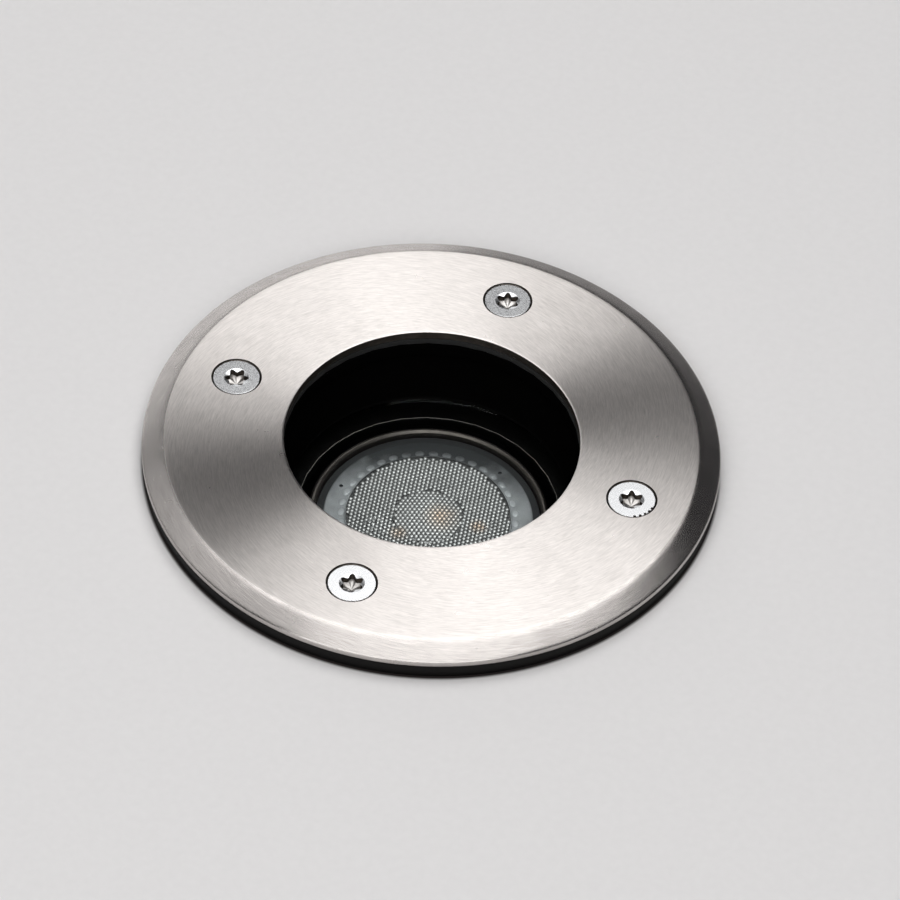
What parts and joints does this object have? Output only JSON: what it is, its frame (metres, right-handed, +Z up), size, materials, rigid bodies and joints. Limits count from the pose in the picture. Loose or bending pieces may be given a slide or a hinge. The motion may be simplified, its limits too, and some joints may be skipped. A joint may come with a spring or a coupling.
{
  "type": "in-ground spotlight",
  "caption": "Round in-ground spotlight: brushed steel trim ring on countersunk screws, deep black recess, glass over a twist-lock lamp, sealed housing and gland in a ribbed ground sleeve.",
  "frame": {"origin": "on the axis of the light, in the plane of the ground sleeve's foot", "axes": "+Z up along the light's axis, out of the trim ring; +X through one trim screw and one lamp pin; -Y on the gland's side"},
  "size_m": [0.1174, 0.1174, 0.1494],
  "materials": {
    "trim_steel": "turned, fine circular grain",
    "screw_steel": "bright turned",
    "seal_rubber": "matt black",
    "baffle_black": "satin black",
    "clear_glass": "toughened, clear",
    "retainer_black": "satin black",
    "lamp_rim": "greyish moulded shell",
    "lamp_optic": "clear moulded lens, frosted border",
    "led_board_white": "white solder mask",
    "led_phosphor": "yellow phosphor",
    "driver_board_green": "green board",
    "lamp_base_white": "white moulded",
    "plated_brass": "nickel plated",
    "holder_ceramic": "glazed off-white",
    "contact_brass": "plain",
    "insert_brass": "plain",
    "zinc_steel": "zinc plated",
    "housing_black": "fine moulded texture",
    "sleeve_black": "plain moulded",
    "gland_black": "plain moulded",
    "block_white": "natural nylon",
    "lead_brown": "silicone sleeve",
    "lead_blue": "silicone sleeve"
  },
  "bodies": {
    "sleeve": {"ground_sleeve": "sleeve_black"},
    "luminaire": {"housing": "housing_black", "gland_body": "gland_black", "gland_washer": "seal_rubber", "gland_locknut": "gland_black", "gland_seal": "seal_rubber", "gland_nut": "gland_black", "terminal_block": "block_white", "terminal_screw_1": "zinc_steel", "terminal_screw_2": "zinc_steel", "block_screw": "zinc_steel", "lead_1": "lead_brown", "lead_2": "lead_blue", "holder_plate": "zinc_steel", "lampholder": "holder_ceramic", "holder_contact_1": "contact_brass", "holder_contact_2": "contact_brass", "holder_screw_1": "zinc_steel", "holder_screw_2": "zinc_steel", "holder_nut_1": "zinc_steel", "holder_nut_2": "zinc_steel", "plate_screw_1": "zinc_steel", "plate_screw_2": "zinc_steel", "threaded_insert_1": "insert_brass", "threaded_insert_2": "insert_brass", "threaded_insert_3": "insert_brass", "threaded_insert_4": "insert_brass"},
    "cover": {"trim_ring": "trim_steel", "trim_screw_1": "screw_steel", "trim_screw_2": "screw_steel", "trim_screw_3": "screw_steel", "trim_screw_4": "screw_steel", "trim_gasket": "seal_rubber", "baffle_tube": "baffle_black", "flange_seal": "seal_rubber", "glass_seal": "seal_rubber", "glass_disc": "clear_glass", "glass_retainer": "retainer_black"},
    "lamp": {"lamp_shell": "lamp_rim", "lamp_lens": "lamp_optic", "led_board": "led_board_white", "led_chip": "led_phosphor", "driver_board": "driver_board_green", "lamp_base": "lamp_base_white", "lamp_pin_1": "plated_brass", "lamp_pin_2": "plated_brass"}
  },
  "joints": [
    {"name": "luminaire_lift", "type": "slide", "parent": "sleeve", "child": "luminaire", "axis": [0, 0, 1], "range_m": [0, 0.128]},
    {"name": "cover_lift", "type": "slide", "parent": "luminaire", "child": "cover", "axis": [0, 0, 1], "range_m": [0, 0.03]},
    {"name": "lamp_twist", "type": "hinge", "parent": "luminaire", "child": "lamp", "pos_m": [0, 0, 0.08], "axis": [0, 0, 1], "range_deg": [0, 18]}
  ]
}
